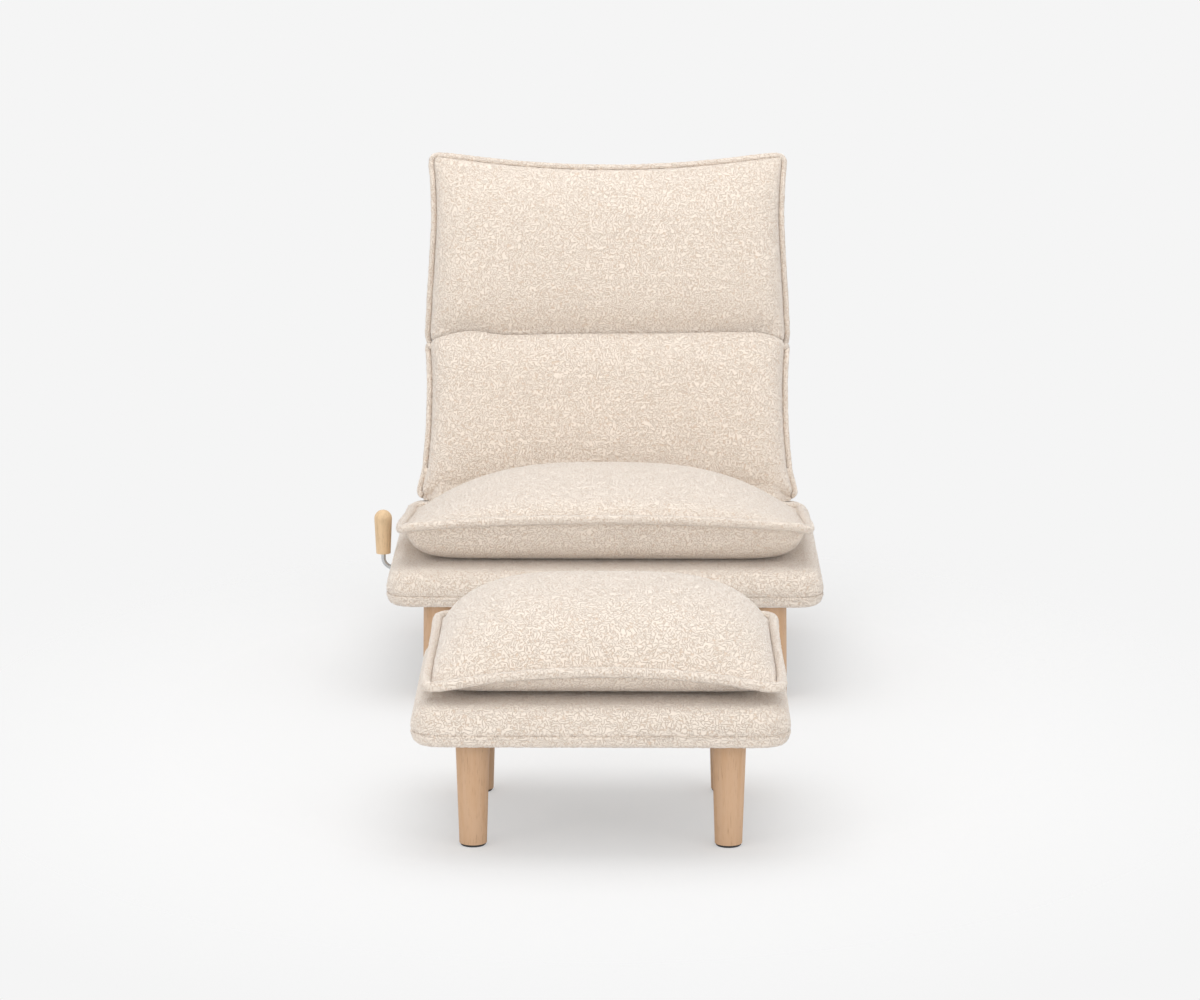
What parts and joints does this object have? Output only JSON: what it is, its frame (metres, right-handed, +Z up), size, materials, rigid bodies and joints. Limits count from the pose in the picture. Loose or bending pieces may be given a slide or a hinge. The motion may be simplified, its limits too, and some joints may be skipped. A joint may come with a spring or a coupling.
{
  "type": "reclining lounge chair with ottoman",
  "caption": "Armless lounge chair with a leaning back in two hinged sections, a side release lever, loose welted cushions on slab pads, tapered wood legs and a matching ottoman.",
  "frame": {"origin": "middle of the footprint of chair and ottoman together, on the floor", "axes": "+Z up, +Y from the ottoman at the front to the chair's back, +X to the right of someone who faces the chair"},
  "size_m": [0.8034, 1.7706, 0.8873],
  "materials": {
    "oak": "clear matt lacquer over open grain",
    "frame_wood": "planed, unfinished",
    "boucle": "looped boucle pile",
    "lining": "thin black non-woven cloth",
    "webbing": "woven elastic webbing",
    "black_steel": "black powder coat",
    "zinc_steel": "zinc plated",
    "nylon": "moulded nylon",
    "glide": "black moulded glide"
  },
  "bodies": {
    "seat": {"seat_front_rail": "frame_wood", "seat_rear_rail": "frame_wood", "seat_left_rail": "frame_wood", "seat_right_rail": "frame_wood", "seat_corner_blocks": "frame_wood", "seat_webbing": "webbing", "seat_pad": "boucle", "seat_dust_cover": "lining", "seat_cushion": "boucle", "chair_leg_front_left": "oak", "chair_leg_front_right": "oak", "chair_leg_rear_left": "oak", "chair_leg_rear_right": "oak", "chair_leg_plates": "black_steel", "chair_leg_bolts": "zinc_steel", "chair_glides": "glide", "hinge_plate_left": "black_steel", "hinge_plate_right": "black_steel", "recliner_disc_left": "zinc_steel", "recliner_disc_right": "zinc_steel", "lever_bush": "nylon", "lever_spring": "zinc_steel"},
    "backrest": {"back_frame": "black_steel", "back_webbing": "webbing", "swing_arm_left": "black_steel", "swing_arm_right": "black_steel", "lower_ratchet_left": "black_steel", "lower_ratchet_right": "black_steel", "ratchet_pins": "zinc_steel", "lower_back_cushion": "boucle", "lower_back_panel": "boucle"},
    "headrest": {"head_frame": "black_steel", "head_webbing": "webbing", "upper_ratchet_left": "black_steel", "upper_ratchet_right": "black_steel", "head_cushion": "boucle", "head_panel": "boucle"},
    "lever": {"lever_rod": "zinc_steel", "lever_grip": "oak", "lever_crank": "zinc_steel"},
    "link": {"release_link": "zinc_steel"},
    "release": {"release_shaft": "zinc_steel", "release_crank": "zinc_steel"},
    "ottoman": {"ottoman_long_rails": "frame_wood", "ottoman_cross_rails": "frame_wood", "ottoman_corner_blocks": "frame_wood", "ottoman_deck": "frame_wood", "ottoman_pad": "boucle", "ottoman_dust_cover": "lining", "ottoman_cushion": "boucle", "ottoman_leg_plates": "black_steel", "ottoman_leg_bolts": "zinc_steel", "ottoman_glides": "glide", "ottoman_leg_front_left": "oak", "ottoman_leg_front_right": "oak", "ottoman_leg_rear_left": "oak", "ottoman_leg_rear_right": "oak"}
  },
  "joints": [
    {"name": "back_recline", "type": "hinge", "parent": "seat", "child": "backrest", "pos_m": [0.01675, 0.71021, 0.292], "axis": [-1, 0, 0], "range_deg": [0, 45]},
    {"name": "headrest_tilt", "type": "hinge", "parent": "backrest", "child": "headrest", "pos_m": [0.01675, 0.80427, 0.55041], "axis": [-1, 0, 0], "range_deg": [-5, 45]},
    {"name": "lever_pull", "type": "hinge", "parent": "seat", "child": "lever", "pos_m": [0.01675, 0.30221, 0.1975], "axis": [-1, 0, 0], "range_deg": [0, 25], "stiffness_Nm_per_rad": 1, "springref_deg": -17.19},
    {"name": "link_swing", "type": "hinge", "parent": "lever", "child": "link", "pos_m": [-0.24075, 0.2909, 0.18619], "axis": [-1, 0, 0], "range_deg": [-25, 0]},
    {"name": "release_turn", "type": "hinge", "parent": "seat", "child": "release", "pos_m": [0.01675, 0.71021, 0.292], "axis": [-1, 0, 0], "range_deg": [0, 25]},
    {"name": "ottoman_slide", "type": "slide", "parent": "seat", "child": "ottoman", "axis": [0, 1, 0], "range_m": [0, 0.45]}
  ],
  "couplings": [
    {"joint": "link_swing", "follows": "lever_pull", "ratio": -1},
    {"joint": "release_turn", "follows": "lever_pull", "ratio": 1}
  ]
}
